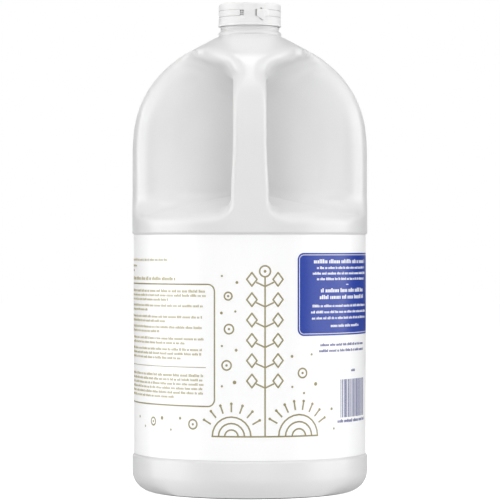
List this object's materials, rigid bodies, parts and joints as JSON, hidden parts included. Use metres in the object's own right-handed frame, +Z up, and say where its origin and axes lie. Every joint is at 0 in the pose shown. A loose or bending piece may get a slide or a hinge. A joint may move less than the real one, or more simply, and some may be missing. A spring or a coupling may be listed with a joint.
{
  "type": "vinegar jug",
  "caption": "White blow-moulded one gallon vinegar jug with a side handle, wrap-round printed label and a tear-band cap, shut and full.",
  "frame": {"origin": "middle of the base, on the plane the jug stands on", "axes": "+Z up along the body's axis to the cap, -Y towards the handle, +X to the right seen from the handle's side"},
  "size_m": [0.1524, 0.1524, 0.3147],
  "materials": {
    "jug_plastic": "satin white polyethylene, blow moulded",
    "label_film": "smooth white printed film",
    "cap_plastic": "satin white, injection moulded"
  },
  "bodies": {
    "root": {"jug": "jug_plastic", "label": "label_film", "cap": "cap_plastic"}
  },
  "joints": []
}
